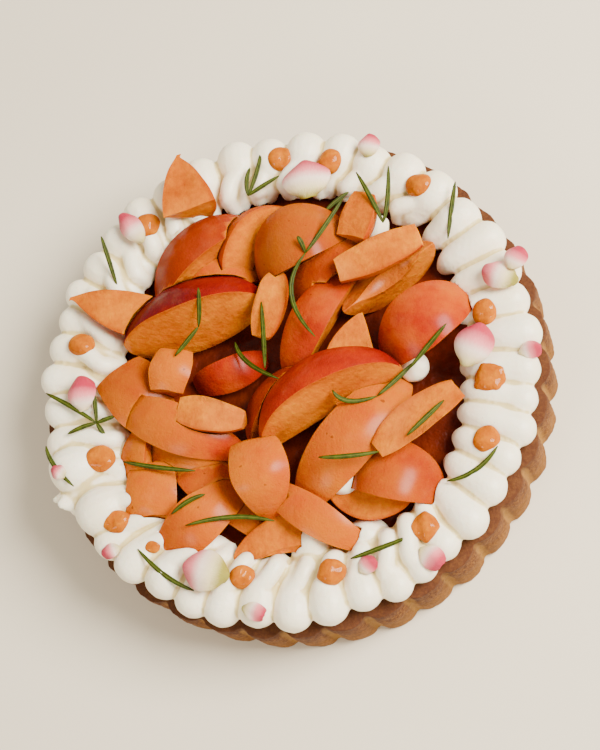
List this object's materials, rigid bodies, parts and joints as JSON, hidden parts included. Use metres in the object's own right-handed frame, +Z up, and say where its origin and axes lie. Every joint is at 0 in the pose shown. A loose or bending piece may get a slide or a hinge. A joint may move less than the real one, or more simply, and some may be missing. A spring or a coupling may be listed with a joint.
{
  "type": "apricot tart",
  "caption": "Round fluted shortcrust tart with a ring of piped cream round a heap of fresh apricot slices, with curd drops, petals and rosemary.",
  "frame": {"origin": "the middle of the crust's flat foot, on the surface it stands on", "axes": "+Z up; +X to the right and +Y away from the viewer as the tart is seen from above with the tall upright slice at the upper left"},
  "size_m": [0.2, 0.1996, 0.0614],
  "materials": {
    "crust": "baked golden-brown shortcrust, matt and finely crumbed",
    "filling": "glossy dark apricot jam",
    "cream": "ivory piped cream, soft sheen",
    "apricot": "moist orange flesh and red-blushed skin",
    "petal": "soft pink petal, yellow-green at the base",
    "rosemary": "dark green needles, paler below"
  },
  "bodies": {
    "root": {"crust": "crust", "filling": "filling", "slice_02": "apricot", "slice_25": "apricot", "slice_09": "apricot", "slice_01": "apricot", "slice_03": "apricot", "slice_21": "apricot", "slice_24": "apricot", "slice_23": "apricot", "slice_11": "apricot", "slice_20": "apricot", "slice_14": "apricot", "slice_10": "apricot", "slice_26": "apricot", "slice_05": "apricot", "slice_13": "apricot", "slice_18": "apricot", "slice_06": "apricot", "slice_04": "apricot", "slice_07": "apricot", "slice_08": "apricot", "slice_16": "apricot", "slice_15": "apricot", "slice_22": "apricot", "slice_27": "apricot", "slice_31": "apricot", "slice_12": "apricot", "slice_19": "apricot", "slice_17": "apricot", "slice_28": "apricot", "slice_30": "apricot", "slice_29": "apricot", "slice_33": "apricot", "slice_34": "apricot", "slice_32": "apricot", "slice_35": "apricot", "cream_kiss_a": "cream", "cream_kiss_b": "cream", "cream_kiss_c": "cream", "cream_ring": "cream", "petal_1": "petal", "petal_2": "petal", "petal_3": "petal", "petal_4": "petal", "petal_5": "petal", "petal_6": "petal", "petal_7": "petal", "rosemary_1": "rosemary", "rosemary_2": "rosemary", "rosemary_3": "rosemary", "rosemary_4": "rosemary", "rosemary_5": "rosemary", "rosemary_6": "rosemary", "rosemary_7": "rosemary", "rosemary_8": "rosemary", "rosemary_9": "rosemary", "rosemary_10": "rosemary", "rosemary_11": "rosemary", "rosemary_12": "rosemary"}
  },
  "joints": []
}
